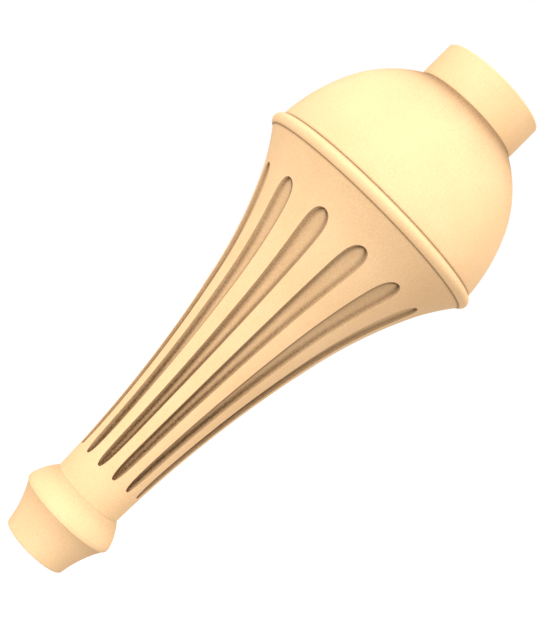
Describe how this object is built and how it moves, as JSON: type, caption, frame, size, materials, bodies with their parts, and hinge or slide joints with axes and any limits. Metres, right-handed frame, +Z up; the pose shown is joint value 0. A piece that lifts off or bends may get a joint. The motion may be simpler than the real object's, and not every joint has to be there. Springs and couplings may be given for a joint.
{
  "type": "stone baluster",
  "caption": "Turned stone baluster: a domed head with a bead on a fluted shaft that tapers to a neck, a round collar and a small foot, with a round spigot on top.",
  "frame": {"origin": "middle of the foot's flat underside", "axes": "+Z up along the turned axis, from the foot to the spigot; one flute is centred on -Y"},
  "size_m": [0.2499, 0.25, 0.6],
  "materials": {
    "stone": "fine-grained cream limestone, rubbed smooth"
  },
  "bodies": {
    "root": {"baluster": "stone"}
  },
  "joints": []
}
